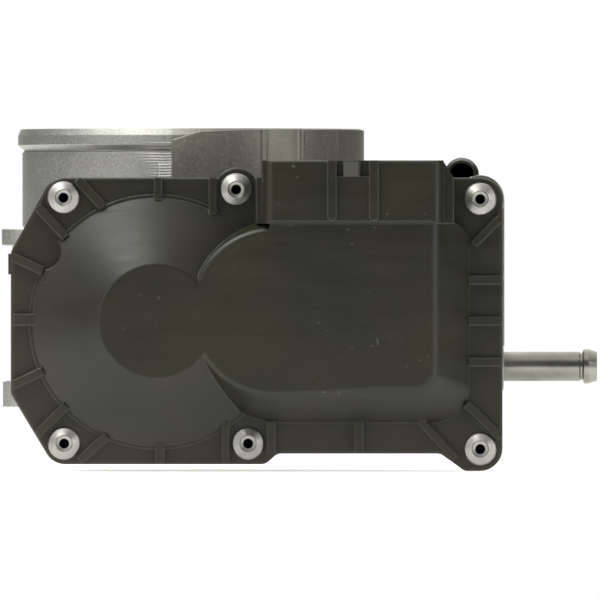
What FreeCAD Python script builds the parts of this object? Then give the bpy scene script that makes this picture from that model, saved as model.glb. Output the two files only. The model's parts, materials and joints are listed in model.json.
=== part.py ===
import FreeCAD, Part
import math
import os
import re
import Sketcher
from FreeCAD import Placement, Rotation, Vector

# An electronic throttle body. Origin: centre of the bore at the engine flange face.
# +Z runs along the bore to the inlet, the throttle shaft lies along Y and the gear
# chamber with its plastic cover is on the -Y side. Depths named *_y are measured
# from the bore axis towards -Y.

SIZES = {
    # bore and collar
    "bore_radius": 35.0, "mouth_radius": 41.0, "mouth_floor": 58.0, "bore_top": 44.0,
    "barrel_radius": 40.5, "collar_radius": 45.9, "collar_base": 49.0, "bead_radius": 47.1,
    "bead_low": 69.6, "body_height": 75.4,
    # engine flange
    "flange_thick": 6.8, "flange_radius": 44.0, "bolt_x": 42.0, "bolt_y": 38.0,
    "bolt_hole": 3.3, "ear_radius": 8.8, "column_radius": 6.2, "column_top": 48.1,
    "cap_thick": 4.3, "web_thick": 8.0,
    # gear train, all on one line at shaft height
    "shaft_z": 23.0, "shaft_radius": 5.0, "idler_x": 34.0, "motor_x": 60.0,
    "plate_radius": 34.9, "plate_thick": 2.0, "rest_angle": 7.0,
    "sector_teeth": 54.0, "idler_small_teeth": 14.0, "sector_module": 1.0,
    "idler_large_teeth": 52.0, "motor_teeth": 13.0, "motor_module": 0.8,
    # depths of the gear chamber and cover
    "floor_y": 48.0, "chamber_back_y": 45.0, "joint_y": 68.0, "flange_y": 72.5,
    "dome_y": 84.0, "block_y": 86.0, "skin": 2.3,
    # motor
    "motor_radius": 13.0, "motor_split_x": 51.5, "lug_top": 66.0, "motor_back": 9.0, "motor_front_y": 45.0,
    # rivets, nipples, coolant drillings
    "rivet_radius": 2.4, "rivet_head": 4.42, "lug_radius": 5.3,
    "pipe_radius": 3.98, "pipe_bore": 3.25, "bead_end_radius": 4.68, "side_pipe_z": 10.9, "side_pipe_end": 110.2,
    "front_pipe_x": 73.4, "front_pipe_z": 62.7, "front_pipe_y": 58.0, "pipe_bend": 10.0,
    "coolant_y": 33.0, "riser_x": 79.4, "riser_radius": 2.2, "right_face": 84.3,
    "cross_z": 46.5, "block_top": 54.0,
    # bearings and seals
    "bearing_radius": 7.0, "bearing_length": 8.0, "shaft_back": 48.0, "boss_radius": 11.0,
    "running": 0.03, "stop_y": 63.0, "stop_tip": 16.9,
    # gears, hub and springs along the shafts
    "sector_back_y": 60.0, "sector_front_y": 67.0, "wheel_back_y": 68.5, "wheel_front_y": 73.0,
    "hub_radius": 10.4, "cup_radius": 7.6, "cup_y": 74.0, "spring_top_y": 59.7,
    "board_y": 77.0, "pin_radius": 2.0, "rotor_radius": 1.98,
    # connector socket
    "socket_left": 27.0, "socket_right": 61.0, "socket_floor": 52.0, "socket_back_y": 71.5,
    "socket_front_y": 83.0, "block_left": 19.5, "block_right": 68.4, "block_low": 49.5,
    "block_high": 66.5, "flange_step": 1.2, "rib_height": 1.9,
}

STOP_X = -22.0
TERMINAL_X = [57.0, 66.0]
# Motor screws from the motor's axis, X and Z.
MOTOR_SCREWS = [(-12.2, 14.0), (13.0, -14.0)]
# Rivet centres on the cover, X and Z.
RIVETS = [(-34.1, 56.5), (12.5, 58.7), (78.3, 56.1), (-33.9, -9.8), (15.7, -9.8), (78.3, -11.3)]

doc = FreeCAD.newDocument("ThrottleBody")
sheet = doc.addObject("Spreadsheet::Sheet", "Sizes")
for row, (alias, size) in enumerate(SIZES.items(), 1):
    sheet.set(f"A{row}", alias)
    sheet.set(f"B{row}", str(size))
    sheet.setAlias(f"B{row}", alias)
doc.recompute()

TOWARD = {
    "+Z": Rotation(),
    "-Y": Rotation(Vector(1, 0, 0), 90),
    "+Y": Rotation(Vector(1, 0, 0), -90),
    "+X": Rotation(Vector(0, 1, 0), 90),
}
nodes = {}


# ---------------------------------------------------------------- helpers

def cells(expression):
    """The expression with each size name pointing at its cell."""
    def link(word):
        name = word.group(0)
        return "Sizes." + name if name in SIZES else name
    return re.sub(r"[a-z_][a-z_0-9]*", link, str(expression))


def value(expression):
    """The expression's present value in millimetres or degrees."""
    return float(sheet.evalExpression(cells(expression)))


def bind(item, **expressions):
    for prop, expression in expressions.items():
        item.setExpression(prop, cells(expression))


def place(item, at, toward="+Z"):
    """Put the item at (x, y, z) expressions with its own Z axis toward a direction."""
    turn = toward if isinstance(toward, Rotation) else TOWARD[toward]
    item.Placement = Placement(Vector(*[value(part) for part in at]), turn)
    for axis, part in zip("xyz", at):
        item.setExpression(f"Placement.Base.{axis}", cells(part))
    return item


def cylinder(radius, height, at, toward="+Z"):
    item = doc.addObject("Part::Cylinder", "cylinder")
    bind(item, Radius=radius, Height=height)
    return place(item, at, toward)


def cone(radius, tip_radius, height, at, toward="+Z"):
    item = doc.addObject("Part::Cone", "cone")
    bind(item, Radius1=radius, Radius2=tip_radius, Height=height)
    return place(item, at, toward)


def box(low, high):
    """A box between two corners given as expressions."""
    item = doc.addObject("Part::Box", "box")
    spans = [f"({b}) - ({a})" for a, b in zip(low, high)]
    bind(item, Length=spans[0], Width=spans[1], Height=spans[2])
    return place(item, low)


def fuse(*items):
    item = doc.addObject("Part::MultiFuse", "fuse")
    item.Shapes = list(items)
    item.Refine = True
    return item


def cut(base, *tools):
    tool = tools[0] if len(tools) == 1 else fuse(*tools)
    item = doc.addObject("Part::Cut", "cut")
    item.Base = base
    item.Tool = tool
    item.Refine = True
    return item


def common(first, second):
    item = doc.addObject("Part::MultiCommon", "common")
    item.Shapes = [first, second]
    return item


def fillet(base, radii):
    """Round some edges: radii gives (start, end) radius, or None, for each edge's middle."""
    doc.recompute()
    item = doc.addObject("Part::Fillet", "fillet")
    item.Base = base
    chosen = []
    for number, edge in enumerate(base.Shape.Edges, 1):
        ends = radii(edge.BoundBox, edge.Vertexes)
        if ends:
            chosen.append((number, ends[0], ends[1]))
    item.Edges = chosen
    return item


def group(*items):
    """Separate solids kept in one node."""
    item = doc.addObject("Part::Compound", "group")
    item.Links = list(items)
    return item


def solid(shape, name="shape"):
    item = doc.addObject("Part::Feature", name)
    item.Shape = shape
    return item


def ring(outer, inner, length, at, toward="+Z"):
    return cut(cylinder(outer, length, at, toward), cylinder(inner, length, at, toward))


def turned(points, at, toward="+Z"):
    """A PartDesign revolution of (radius, height) corners about the part's own Z axis."""
    body = doc.addObject("PartDesign::Body", "Turned")
    sketch = body.newObject("Sketcher::SketchObject", "Profile")
    plane = [f for f in body.Origin.OriginFeatures if f.Role == "XZ_Plane"][0]
    sketch.AttachmentSupport = (plane, [""])
    sketch.MapMode = "FlatFace"
    spots = [Vector(value(r), value(h), 0) for r, h in points]
    for index, spot in enumerate(spots):
        sketch.addGeometry(Part.LineSegment(spot, spots[(index + 1) % len(spots)]))
    for index in range(len(spots)):
        following = (index + 1) % len(spots)
        sketch.addConstraint(Sketcher.Constraint("Coincident", index, 2, following, 1))
    for index, (radius, height) in enumerate(points):
        for kind, axis, expression in (("DistanceX", -2, radius), ("DistanceY", -1, height)):
            size = value(expression)
            if abs(size) < 1e-9:
                sketch.addConstraint(Sketcher.Constraint("PointOnObject", index, 1, axis))
                continue
            spot = sketch.addConstraint(Sketcher.Constraint(kind, -1, 1, index, 1, size))
            sketch.setExpression(f"Constraints[{spot}]", cells(expression))
    turn = body.newObject("PartDesign::Revolution", "Revolution")
    turn.Profile = sketch
    turn.ReferenceAxis = (sketch, ["V_Axis"])
    turn.Angle = 360
    return place(body, at, toward)


def outline(corners, y):
    """A closed sketch in the XZ direction at depth y, its corners (x, z, radius) rounded."""
    sketch = doc.addObject("Sketcher::SketchObject", "Outline")
    place(sketch, ("0", f"-({y})", "0"), "-Y")
    spots = [(Vector(value(x), value(z), 0), float(r)) for x, z, r in corners]
    ends = []
    for index, (spot, radius) in enumerate(spots):
        before = (spots[index - 1][0] - spot).normalize()
        after = (spots[(index + 1) % len(spots)][0] - spot).normalize()
        half = before.getAngle(after) / 2
        reach = radius / math.tan(half)
        middle = spot + (before + after).normalize() * (radius / math.sin(half) - radius)
        ends.append((spot + before * reach, middle, spot + after * reach))
    for index, (start, middle, stop) in enumerate(ends):
        if (start - stop).Length > 1e-6:
            sketch.addGeometry(Part.Arc(start, middle, stop))
        sketch.addGeometry(Part.LineSegment(stop, ends[(index + 1) % len(ends)][0]))
    return sketch


def slab(corners, y_back, y_front):
    """A plate with that outline from depth y_back to depth y_front."""
    item = doc.addObject("Part::Extrusion", "slab")
    item.Base = outline(corners, y_back)
    item.DirMode = "Normal"
    item.Solid = True
    bind(item, LengthFwd=f"({y_front}) - ({y_back})")
    return item


def loft(low, low_y, high, high_y):
    """A solid that narrows from one outline to another with the same corners."""
    item = doc.addObject("Part::Loft", "loft")
    item.Sections = [outline(low, low_y), outline(high, high_y)]
    item.Solid = True
    item.Ruled = True
    return item


def node(name, item):
    item.Label = name
    nodes[name] = item
    return item


def gear_face(module, teeth, start, backlash=0.12, pressure=25.0):
    """An involute gear outline in the XY plane with a tooth centred on the start angle."""
    pitch_radius = module * teeth / 2
    base_radius = pitch_radius * math.cos(math.radians(pressure))
    tip_radius = pitch_radius + 0.9 * module
    root_radius = pitch_radius - 1.2 * module
    slope = math.tan(math.radians(pressure)) - math.radians(pressure)
    half_tooth = math.pi / (2 * teeth) - backlash / (2 * pitch_radius)
    flank = [root_radius]
    low = max(base_radius, root_radius)
    flank += [low + (tip_radius - low) * step / 4 for step in range(5)]
    sides = []
    for radius in flank:
        lean = math.acos(min(1.0, base_radius / max(radius, base_radius)))
        sides.append((radius, half_tooth + slope - (math.tan(lean) - lean)))
    spots = []
    for tooth in range(int(teeth)):
        centre = math.radians(start) + tooth * 2 * math.pi / teeth
        for radius, half in sides:
            spots.append(Vector(radius * math.cos(centre - half), radius * math.sin(centre - half), 0))
        for radius, half in reversed(sides):
            spots.append(Vector(radius * math.cos(centre + half), radius * math.sin(centre + half), 0))
    distinct = [s for i, s in enumerate(spots) if (s - spots[i - 1]).Length > 1e-6]
    return Part.Face(Part.makePolygon(distinct + [distinct[0]]))


def gear(module, teeth, start, y_back, y_front, x):
    """A toothed disc from depth y_back to y_front, its axis along Y at height shaft_z."""
    face = gear_face(value(module), value(teeth), start)
    item = solid(face.extrude(Vector(0, 0, value(f"({y_front}) - ({y_back})"))), "gear")
    return place(item, (x, f"-({y_back})", "shaft_z"), "-Y")


def coil(radius, wire, pitch, turns, y_front):
    """A helical spring of round wire about the throttle shaft, running back from y_front."""
    body = doc.addObject("PartDesign::Body", "Coil")
    sketch = body.newObject("Sketcher::SketchObject", "Wire")
    plane = [f for f in body.Origin.OriginFeatures if f.Role == "XZ_Plane"][0]
    sketch.AttachmentSupport = (plane, [""])
    sketch.MapMode = "FlatFace"
    sketch.addGeometry(Part.Circle(Vector(radius, wire, 0), Vector(0, 0, 1), wire))
    helix = body.newObject("PartDesign::AdditiveHelix", "Helix")
    helix.Profile = sketch
    helix.ReferenceAxis = (sketch, ["V_Axis"])
    helix.Mode = 0
    helix.Pitch = pitch
    helix.Height = pitch * turns
    return place(body, ("0", f"-({y_front})", "shaft_z"), "+Y")


# ---------------------------------------------------------------- casting

COVER_EDGE = [
    (-48.3, 41.9, 3), (-37.3, 61.9, 5.6), (84.3, 61.9, 6.2), (84.3, -17.2, 6), (74.0, -17.2, 3),
    (67.6, -12.5, 3), (23.5, -12.5, 3), (20.5, -15.4, 3), (-36.9, -15.4, 5.6), (-48.3, 3.5, 3),
]
CHAMBER_EDGE = [
    (-43.5, 38, 6), (-28.5, 54.6, 6), (65, 54.6, 6), (82, 42, 7), (82, -6.3, 6),
    (10.5, -6.3, 4), (4.8, -8.9, 4), (-26, -8.9, 6), (-43.5, 9, 6),
]
CHAMBER_ROOM = [
    (-40.3, 36.8, 3), (-27.1, 51.4, 3), (64, 51.4, 3), (78.8, 40.3, 4), (78.8, -3.1, 3),
    (11.2, -3.1, 1), (5.5, -5.7, 1), (-24.6, -5.7, 3), (-40.3, 10.2, 3),
]


def flange_corners():
    return [(side, depth) for side in ("bolt_x", "-bolt_x") for depth in ("bolt_y", "-bolt_y")]


def casting_collar():
    """Barrel, flared collar and beaded lip as one turned shape."""
    return turned([
        ("0", "0"), ("barrel_radius", "0"), ("barrel_radius", "collar_base - 7"),
        ("collar_radius", "collar_base"), ("collar_radius", "bead_low - 0.6"),
        ("collar_radius - 0.5", "bead_low - 0.3"), ("collar_radius - 0.5", "bead_low"),
        ("bead_radius", "bead_low + 1.4"), ("bead_radius", "body_height - 1.8"),
        ("bead_radius - 0.8", "body_height"), ("0", "body_height"),
    ], ("0", "0", "0"))


def casting_flange():
    """Flange plate with four ears, and the bolt columns with their webs and caps."""
    pieces = [cylinder("flange_radius", "flange_thick", ("0", "0", "0"))]
    for x, y in flange_corners():
        pieces.append(cylinder("ear_radius", "flange_thick", (x, y, "0")))
        pieces.append(cylinder("column_radius", "column_top", (x, y, "0")))
        pieces.append(cylinder("ear_radius + 0.3", "cap_thick", (x, y, "column_top - cap_thick")))
    span = math.hypot(value("bolt_x"), value("bolt_y"))
    lean = math.degrees(math.atan2(value("bolt_y"), value("bolt_x")))
    for turn in (lean, -lean):
        for width, height in (("2 * ear_radius", "flange_thick"), ("web_thick", "column_top - 1")):
            arm = doc.addObject("Part::Box", "arm")
            arm.Length = 2 * span
            bind(arm, Width=width, Height=height)
            half = value(width) / 2
            swing = Rotation(Vector(0, 0, 1), turn)
            arm.Placement = Placement(swing.multVec(Vector(-span, -half, 0)), swing)
            pieces.append(arm)
    return fuse(*pieces)


def casting_chamber():
    """Open gear chamber with a rivet lug at each cover rivet."""
    pieces = [slab(CHAMBER_EDGE, "chamber_back_y", "joint_y")]
    for x, z in RIVETS:
        pieces.append(cylinder("lug_radius", "7", (x, "-joint_y + 7", z), "-Y"))
        inner_x = max(-30, min(74, x))
        inner_z = max(-7, min(49, z))
        pieces.append(box((min(x, inner_x) - 3, "-joint_y", min(z, inner_z) - 3),
                          (max(x, inner_x) + 3, "-joint_y + 7", max(z, inner_z) + 3)))
    right_lug_x, right_lug_z = RIVETS[2]
    pieces.append(cylinder("6.5", "7", (right_lug_x, "-joint_y + 7", right_lug_z), "-Y"))
    pieces.append(box(("79", "-joint_y + 2", "40"), ("right_face + 0.6", "-joint_y + 7", right_lug_z)))
    pieces.append(box(("70", "-joint_y + 2", "16.5"), ("right_face + 0.6", "-chamber_back_y", "41")))
    pieces.append(box(("-48.9", "-joint_y + 6", "36"), ("-38", "-chamber_back_y", "41")))
    return fuse(*pieces)


def casting_coolant_block():
    """Block beside the motor that carries the coolant drillings and both pipe sockets."""
    return fuse(
        box(("front_pipe_x - 6", "-chamber_back_y - 1", "40"), ("right_face", "-coolant_y + 7", "block_top")),
        box(("riser_x - 5", "-chamber_back_y - 1", "4"), ("right_face", "-coolant_y + 5", "block_top")),
        cylinder("6.4", "24", ("right_face + 0.6 - 24", "-coolant_y", "side_pipe_z"), "+X"),
    )


def casting_ribs():
    """Stiffening ribs down the barrel, seen from the back and sides."""
    ribs = []
    for turn in (90, 130, 180, 50):
        rib = doc.addObject("Part::Box", "rib")
        rib.Length = 6
        rib.Width = 3
        bind(rib, Height="collar_base - 3")
        swing = Rotation(Vector(0, 0, 1), turn)
        rib.Placement = Placement(swing.multVec(Vector(value("barrel_radius") - 3.5, -1.5, 0)), swing)
        ribs.append(rib)
    return fuse(*ribs)


def raised_sector():
    """As-cast pad that stands proud of the machined collar on the motor side."""
    pad = doc.addObject("Part::Cylinder", "pad")
    bind(pad, Radius="bead_radius - 0.6", Height="body_height - collar_base - 3", Angle="104")
    return place(pad, ("0", "0", "collar_base"), Rotation(Vector(0, 0, 1), -96.3))


def make_casting():
    """The cast and machined aluminium body."""
    metal = fuse(
        casting_collar(), casting_flange(), casting_chamber(), casting_coolant_block(),
        casting_ribs(), raised_sector(),
        cylinder("motor_radius + 3.8", "chamber_back_y + motor_back + 4",
                 ("motor_x", "motor_back + 4", "shaft_z"), "-Y"),
        box(("20", "-20", "shaft_z - 12"), ("motor_x", "motor_back + 2", "shaft_z + 12")),
        cylinder("boss_radius", "chamber_back_y", ("0", "0", "shaft_z"), "-Y"),
        cylinder("boss_radius", "shaft_back + 5", ("0", "0", "shaft_z"), "+Y"),
        cylinder("7", "12", ("idler_x", "-chamber_back_y + 8", "shaft_z"), "-Y"),
        *[cylinder("3.6", "9", (f"motor_x + {x}", "-chamber_back_y + 8", f"shaft_z + {z}"), "-Y")
          for x, z in MOTOR_SCREWS],
    )
    stop_boss = box((STOP_X - 4.5, "-stop_y - 4.5", "-8.9"), (STOP_X + 4.5, "-floor_y", "7"))
    bore = turned([
        ("0", "0"), ("bore_radius", "0"), ("bore_radius", "bore_top"),
        ("mouth_radius", "mouth_floor"), ("mouth_radius + 0.6", "body_height + 1"),
        ("0", "body_height + 1"),
    ], ("0", "0", "0"))
    tools = [bore, cut(slab(CHAMBER_ROOM, "floor_y", "joint_y + 1"), stop_boss)]
    tools += [cylinder("bolt_hole", "60", (x, y, "-1")) for x, y in flange_corners()]
    tools += [cylinder("rivet_radius", "12", (x, "-joint_y + 8", z), "-Y") for x, z in RIVETS]
    tools.append(cylinder("motor_radius + 0.15", "floor_y + motor_back + 1",
                          ("motor_x", "motor_back + 1", "shaft_z"), "-Y"))
    tools.append(cylinder("shaft_radius + 0.3", "floor_y + 53", ("0", "53", "shaft_z"), "-Y"))
    tools.append(cylinder("bearing_radius", "bearing_length + 3", ("0", "-floor_y + 11", "shaft_z"), "-Y"))
    tools.append(cylinder("bearing_radius", "53 - 37", ("0", "37", "shaft_z"), "+Y"))
    tools.append(cylinder("2", "11", ("idler_x", "-floor_y + 9", "shaft_z"), "-Y"))
    tools.append(cylinder("pipe_radius", "14", ("right_face + 1 - 14", "-coolant_y", "side_pipe_z"), "+X"))
    tools.append(cylinder("riser_radius", "block_top - side_pipe_z",
                          ("riser_x", "-coolant_y", "side_pipe_z")))
    tools.append(cylinder("pipe_radius", "block_top", ("front_pipe_x", "-coolant_y", "cross_z - 2")))
    tools.append(cylinder("riser_radius", "20", ("front_pipe_x", "-coolant_y", "cross_z"), "+X"))
    for x, z in MOTOR_SCREWS:
        tools.append(cylinder("1.5", "11", (f"motor_x + {x}", "-floor_y + 10", f"shaft_z + {z}"), "-Y"))
    tools.append(cylinder("2.5", "24", (STOP_X, "-stop_y", "-12")))
    whole = cut(metal, *tools)
    split_casting(whole)


def split_casting(whole):
    """Cut the casting into pieces that meet face to face, so that each keeps its hollows."""
    regions = {
        "throttle_casting": [(("-60", "-chamber_back_y", "-20"), ("motor_split_x", "60", "column_top"))],
        "collar_casting": [
            (("-60", "-chamber_back_y", "column_top"), ("motor_split_x", "60", "lug_top")),
            (("-60", "-chamber_back_y - 5", "lug_top"), ("motor_split_x", "60", "80")),
        ],
        "motor_housing": [(("motor_split_x", "-chamber_back_y", "-20"), ("100", "60", "80"))],
        "gear_housing": [(("-60", "-joint_y - 1", "-20"), ("100", "-chamber_back_y", "lug_top"))],
    }
    for name, boxes in regions.items():
        rooms = [box(low, high) for low, high in boxes]
        room = rooms[0] if len(rooms) == 1 else fuse(*rooms)
        node(name, common(whole, room))


# ---------------------------------------------------------------- cover

DOME_BASE = [(-1.6, 50.6, 27.3), (-1.6, -4.1, 27.3), (75.4, -4.1, 10), (75.4, 50.6, 7.6)]
DOME_TOP = [(0.2, 48.2, 22.2), (0.2, 3.5, 22.2), (65.9, 3.5, 6), (65.9, 48.2, 6)]
DOME_ROUND = (1.5, 4.5)
# Cover ribs as X, Z of both ends, and width.
COVER_RIBS = [
    (-30.3, 61.4, -23.5, 54.1, 2.2), (-41.1, 54.1, -33.5, 45.9, 2.2), (-47.8, 40.5, -39.7, 36.8, 2.2),
    (-47.6, 23.6, -41.5, 23.6, 3.0), (-47.8, 5.9, -39.7, 9.7, 2.2), (-41.1, -7.3, -33.5, 0.3, 2.2),
    (-29.7, -14.3, -22.4, -7.8, 2.2), (-8.6, 61.9, -8.6, 56.0, 2.0), (6.2, 61.9, 6.2, 52.0, 2.0),
    (-8.1, -9.5, -8.1, -15.1, 2.4), (9.6, -4.0, 9.6, -15.1, 1.9), (21.9, -3.8, 21.9, -12.2, 2.2),
    (45.5, -3.8, 45.5, -12.4, 2.4), (62.2, -3.6, 71.6, -13.8, 2.0), (74.6, 1.0, 83.8, -8.1, 2.0),
    (75.2, 34.3, 84.0, 34.3, 2.2), (75.2, 23.2, 84.0, 23.2, 2.2), (75.2, 12.2, 84.0, 12.2, 2.2),
    (76.6, 44.0, 84.0, 51.3, 2.0),
]
PIN_X = [31.5 + 5.0 * index for index in range(6)]
BOARD_POSTS = [(-11.5, 14.0), (-11.5, 32.0), (16.0, 14.0), (16.0, 32.0)]


def inset(corners, distance):
    """Corners of a convex outline moved towards its middle."""
    middle_x = sum(corner[0] for corner in corners) / len(corners)
    middle_z = sum(corner[1] for corner in corners) / len(corners)
    return [(x - math.copysign(distance, x - middle_x), z - math.copysign(distance, z - middle_z),
             max(0.5, radius - distance)) for x, z, radius in corners]


def offset_slab(corners, grow, y_back, y_front):
    """A plate whose edge lies a fixed distance outside the outline."""
    edge = doc.addObject("Part::Offset2D", "edge")
    edge.Source = outline(corners, y_back)
    edge.Value = grow
    edge.Join = 0
    item = doc.addObject("Part::Extrusion", "slab")
    item.Base = edge
    item.DirMode = "Custom"
    item.Dir = Vector(0, -1, 0)
    item.Solid = True
    bind(item, LengthFwd=f"({y_front}) - ({y_back})")
    return item


def rib(x1, z1, x2, z2, width):
    """A straight rib standing on the cover's flange."""
    item = doc.addObject("Part::Box", "rib")
    item.Length = math.hypot(x2 - x1, z2 - z1)
    item.Width = width
    bind(item, Height="flange_y + rib_height - joint_y - 1")
    turn = TOWARD["-Y"].multiply(Rotation(Vector(0, 0, 1), math.degrees(math.atan2(z2 - z1, x2 - x1))))
    shift = turn.multVec(Vector(0, -width / 2, 0))
    return place(item, (x1 + shift.x, "-joint_y - 1", z1 + shift.z), turn)


def connector_pin_boxes():
    return [box((x - 0.75, "-board_y - 0.8", "46"), (x + 0.75, "-board_y", "63")) for x in PIN_X]


def guide_rib(x):
    """Round-ended guide rib on the front of the connector."""
    return fuse(
        box((x - 1.2, "-block_y - 0.9", "block_low + 2"), (x + 1.2, "-block_y + 1", "block_high")),
        cylinder("1.2", "1.9", (x, "-block_y + 1", "block_low + 2"), "-Y"),
    )


def cover_connector():
    """Outer block of the connector with its side steps and guide ribs."""
    shell = box(("block_left", "-block_y", "block_low"), ("block_right", "-joint_y", "block_high"))

    def block_round(bounds, ends):
        upright = bounds.ZLength > 10 and bounds.YMax < -80
        front = bounds.YMax < -80 and bounds.ZLength < 1
        if upright:
            return (3.4, 3.4)
        return (0.8, 0.8) if front else None

    shoulder = [("block_right - 3", "block_high - 0.3", 0.3), ("block_right", "block_high - 0.3", 0.6),
                ("block_right + 2.7", "61.8", 1.0), ("block_right + 2.7", "block_low", 0.5),
                ("block_right - 3", "block_low", 0.5)]
    return fuse(
        fillet(shell, block_round),
        slab(shoulder, "joint_y", "block_y - 4.2"),
        box(("block_left - 1.6", "-block_y + 6", "block_low"), ("block_left + 4", "-joint_y", "61.9")),
        guide_rib(38.3), guide_rib(49.6),
    )


def cover_cone():
    """Round dome over the sector gear, on a low ledge, with a shallow bite beside two ribs."""
    ledge = cylinder("34.4", "4.6", ("-9", "-flange_y + 4", "shaft_z"), "-Y")
    shape = fuse(
        cylinder("33.4", "flange_step + 4", ("-9", "-flange_y + 4", "shaft_z"), "-Y"),
        cone("33.4", "15.4", "dome_y - flange_y - flange_step", ("-9", "-flange_y - flange_step", "shaft_z"), "-Y"),
    )

    def crown_round(bounds, ends):
        return (1.6, 1.6) if bounds.YMax < value("-dome_y") + 0.1 else None

    return cut(fuse(ledge, fillet(shape, crown_round)), cylinder("5", "20", (-39.6, "-flange_y", 42.0), "-Y"))


def cover_dome():
    """Long dome over the idler and motor pinion, softly rounded towards its right end."""
    low = slab(DOME_BASE, "flange_y - 2", "flange_y + flange_step")
    top = loft(DOME_BASE, "flange_y + flange_step", DOME_TOP, "dome_y")

    def crown_round(bounds, ends):
        if bounds.YMax > value("-dome_y") + 0.1:
            return None
        return tuple(DOME_ROUND[0] if spot.X < 30 else DOME_ROUND[1] for spot in ends)

    return fuse(low, fillet(top, crown_round), dome_shelf())


def dome_shelf():
    """Carries the long dome's flat face up under the connector."""
    wedge = doc.addObject("Part::Wedge", "shelf")
    bind(wedge, Xmin="21.5", Xmax="75.4", X2min="21.5", X2max="65.9",
         Ymin="flange_y + flange_step", Ymax="dome_y",
         Zmin="-50.5", Zmax="-36", Z2min="-50.5", Z2max="-36")
    wedge.Placement = Placement(Vector(), Rotation(Vector(1, 0, 0), 180))

    def crown_round(bounds, ends):
        right_crown = bounds.ZLength > 10 and bounds.XMin > 60 and bounds.YMax < value("-dome_y") + 0.1
        return (DOME_ROUND[1], DOME_ROUND[1]) if right_crown else None

    return common(fillet(wedge, crown_round), slab(DOME_BASE, "flange_y", "dome_y + 1"))


def make_cover():
    """Moulded gear cover with both domes, ribs, rivet seats and the connector."""
    def edge_round(bounds, ends):
        return (0.7, 0.7) if bounds.YMax < value("-flange_y") + 0.1 else None

    top_rivet_x, top_rivet_z = RIVETS[1]
    top_lug = cylinder("5.9", "flange_y - joint_y", (top_rivet_x, "-joint_y", top_rivet_z), "-Y")
    plate = fillet(fuse(slab(COVER_EDGE, "joint_y", "flange_y"), top_lug), edge_round)
    side_pad = box((-49.0, "-flange_y + 0.7", 35.8), (-46.0, "-joint_y", 41.4))
    ribs = common(fuse(*[rib(*ends) for ends in COVER_RIBS]),
                  slab(COVER_EDGE, "joint_y", "flange_y + rib_height + 1"))
    outside = fuse(plate, side_pad, cover_cone(), cover_dome(), cover_connector(), ribs)
    hollow = fuse(
        cylinder("28.2", "flange_y - joint_y + 1", ("-9", "-joint_y + 1", "shaft_z"), "-Y"),
        cone("28.2", "13.1", "dome_y - flange_y - skin", ("-9", "-flange_y", "shaft_z"), "-Y"),
        slab(inset(DOME_BASE, 3.0), "joint_y - 1", "flange_y"),
        loft(inset(DOME_BASE, 3.0), "flange_y", inset(DOME_TOP, 3.0), "dome_y - skin"),
    )
    posts = [cylinder("1.6", "dome_y - board_y - 2.4", (x, "-board_y - 1.4", z), "-Y") for x, z in BOARD_POSTS]
    posts.append(cylinder("4.5", "dome_y - 75.5", ("idler_x", "-74.8", "shaft_z"), "-Y"))
    posts += [box((x - 1.6, "-dome_y + 1", "32.5"), (x + 1.6, "-76", "37.5")) for x in TERMINAL_X]
    holes = [cylinder("rivet_radius", "20", (x, "-joint_y + 2", z), "-Y") for x, z in RIVETS]
    holes.append(box(("socket_left", "-socket_front_y", "socket_floor"),
                     ("socket_right", "-socket_back_y", "block_high + 1")))
    holes.append(box(("39.5", "-block_y - 1", "62.2"), ("48.4", "-block_y + 1.4", "block_high + 1")))
    holes.append(cylinder("pin_radius", "2.4", ("idler_x", "-74", "shaft_z"), "-Y"))
    holes += connector_pin_boxes()
    holes.append(nodes["cover_gasket"])
    body = cut(fuse(cut(outside, hollow), common(fuse(*posts), outside)), *holes)
    ramp = box(("41.4", "-block_y - 0.3", "62.2"), ("45.9", "-block_y + 1.4", "66.0"))
    return node("gear_cover", fuse(body, ramp))


def make_gasket():
    """Rubber seal ring in a groove of the cover, over the chamber wall."""
    ring_shape = cut(offset_slab(CHAMBER_ROOM, 2.4, "joint_y", "joint_y + 1.4"),
                     offset_slab(CHAMBER_ROOM, 0.8, "joint_y - 1", "joint_y + 2"))
    return node("cover_gasket", ring_shape)


def make_rivets():
    """Set blind rivets: head, shank and the bulb behind the lug."""
    rivets = []
    for x, z in RIVETS:
        rivets.append(turned([
            ("0", "0"), ("2.2", "0"), ("3.1", "1.0"), ("3.1", "2.5"), ("rivet_radius", "2.5"),
            ("rivet_radius", "flange_y - 58.5"), ("rivet_head", "flange_y - 58.5"),
            ("rivet_head", "flange_y - 58.0"), ("4.1", "flange_y - 57.4"),
            ("2.3", "flange_y - 56.4"), ("2.1", "flange_y - 56.7"), ("1.35", "flange_y - 56.9"),
            ("1.35", "4"), ("0", "4"),
        ], (x, "-58.5", z), "-Y"))
    return node("cover_rivets", group(*rivets))


def make_cover_electronics():
    """Sensor board, its chips, the connector pins and the motor sockets."""
    board = cut(box(("-13.5", "-board_y - 1.4", "12"), ("18", "-board_y", "34")),
                cylinder("1.0", "4", ("-12", "-board_y + 1", "24"), "-Y"))
    node("sensor_board", board)
    chips = [box((x, "-board_y", z), (x + wide, "-board_y + 1.2", z + tall))
             for x, z, wide, tall in ((-11, 20, 5, 6), (10, 14, 4, 4), (8, 27, 6, 4))]
    node("sensor_chips", group(*chips))
    node("connector_pins", group(*connector_pin_boxes()))
    sockets = []
    for x in TERMINAL_X:
        fork = box((x - 1.6, "-76", "32.5"), (x + 1.6, "-55", "37.5"))
        sockets.append(cut(fork, box((x - 0.45, "-60", "32"), (x + 0.45, "-54", "38"))))
    node("motor_sockets", group(*sockets))


# ---------------------------------------------------------------- coolant parts

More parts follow.
